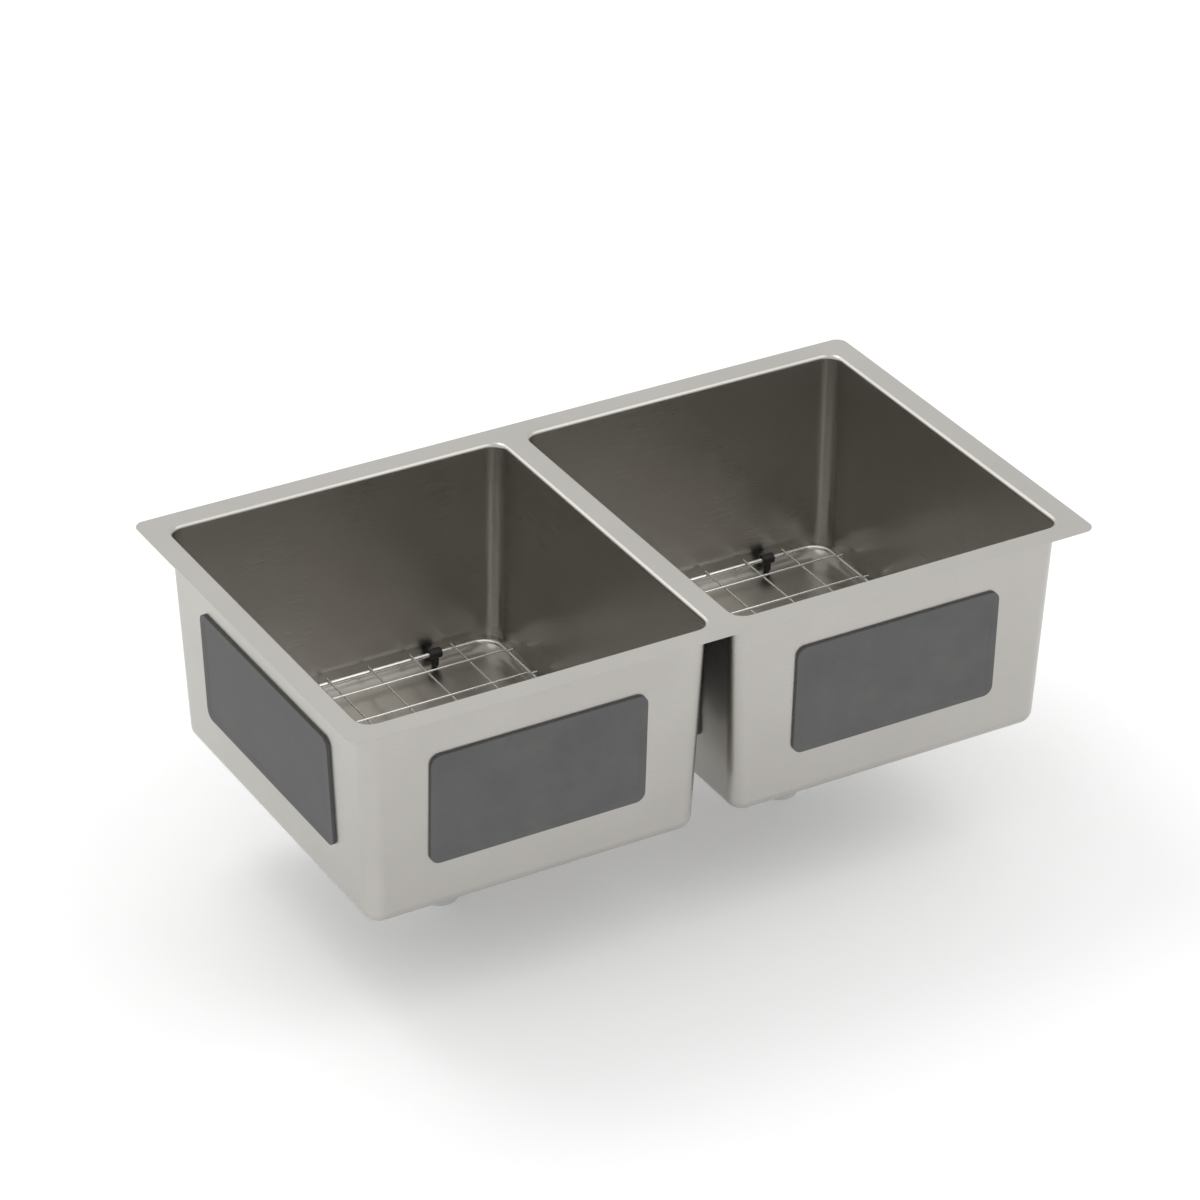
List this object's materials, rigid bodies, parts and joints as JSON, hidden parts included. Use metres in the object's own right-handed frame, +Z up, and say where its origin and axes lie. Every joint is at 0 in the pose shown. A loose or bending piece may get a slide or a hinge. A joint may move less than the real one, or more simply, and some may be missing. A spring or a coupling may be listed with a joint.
{
  "type": "kitchen sink",
  "caption": "Undermount stainless steel kitchen sink with equal deep bowls side by side, basket strainers, lift-out baskets with stoppers, and wire bottom racks on rubber feet.",
  "frame": {"origin": "middle of the divider between the bowls, level with the flange's top face", "axes": "+X to the right along the sink, +Y to the back wall, +Z up, out of the bowls"},
  "size_m": [0.813, 0.465, 0.3659],
  "materials": {
    "bowl_steel": "fine satin, brushed along the sink",
    "polished_steel": "polished stainless steel",
    "wire_steel": "electropolished stainless steel wire",
    "damping_rubber": "matte sheet rubber",
    "black_rubber": "moulded rubber",
    "foot_rubber": "smooth moulded rubber",
    "fibre": "pressed fibre",
    "brass": "cast, dull",
    "white_plastic": "moulded polyethylene",
    "chromed_brass": "bright chrome plate"
  },
  "bodies": {
    "sink": {"flange": "bowl_steel", "bowl_left": "bowl_steel", "wall_pads_left": "damping_rubber", "floor_pad_left": "damping_rubber", "strainer_body_left": "polished_steel", "strainer_cross_left": "polished_steel", "strainer_gasket_left": "black_rubber", "friction_washer_left": "fibre", "strainer_locknut_left": "brass", "tailpiece_washer_left": "white_plastic", "tailpiece_left": "chromed_brass", "slip_nut_left": "chromed_brass", "bowl_right": "bowl_steel", "wall_pads_right": "damping_rubber", "floor_pad_right": "damping_rubber", "strainer_body_right": "polished_steel", "strainer_cross_right": "polished_steel", "strainer_gasket_right": "black_rubber", "friction_washer_right": "fibre", "strainer_locknut_right": "brass", "tailpiece_washer_right": "white_plastic", "tailpiece_right": "chromed_brass", "slip_nut_right": "chromed_brass"},
    "basket_left": {"basket_left": "polished_steel"},
    "stopper_left": {"stopper_post_left": "polished_steel", "stopper_seal_left": "black_rubber", "stopper_nut_left": "brass"},
    "rack_left": {"rack_frame_left": "wire_steel", "rack_drain_ring_left": "wire_steel", "rack_cross_wires_left": "wire_steel", "rack_long_wires_left": "wire_steel", "rack_feet_left": "foot_rubber"},
    "basket_right": {"basket_right": "polished_steel"},
    "stopper_right": {"stopper_post_right": "polished_steel", "stopper_seal_right": "black_rubber", "stopper_nut_right": "brass"},
    "rack_right": {"rack_frame_right": "wire_steel", "rack_drain_ring_right": "wire_steel", "rack_cross_wires_right": "wire_steel", "rack_long_wires_right": "wire_steel", "rack_feet_right": "foot_rubber"}
  },
  "joints": [
    {"name": "rack_left_lift", "type": "slide", "parent": "sink", "child": "rack_left", "axis": [0, 0, 1], "range_m": [0, 0.24]},
    {"name": "basket_left_lift", "type": "slide", "parent": "sink", "child": "basket_left", "axis": [0, 0, 1], "range_m": [0, 0.3]},
    {"name": "stopper_left_lift", "type": "slide", "parent": "basket_left", "child": "stopper_left", "axis": [0, 0, 1], "range_m": [0, 0.008]},
    {"name": "rack_right_lift", "type": "slide", "parent": "sink", "child": "rack_right", "axis": [0, 0, 1], "range_m": [0, 0.24]},
    {"name": "basket_right_lift", "type": "slide", "parent": "sink", "child": "basket_right", "axis": [0, 0, 1], "range_m": [0, 0.3]},
    {"name": "stopper_right_lift", "type": "slide", "parent": "basket_right", "child": "stopper_right", "axis": [0, 0, 1], "range_m": [0, 0.008]}
  ]
}
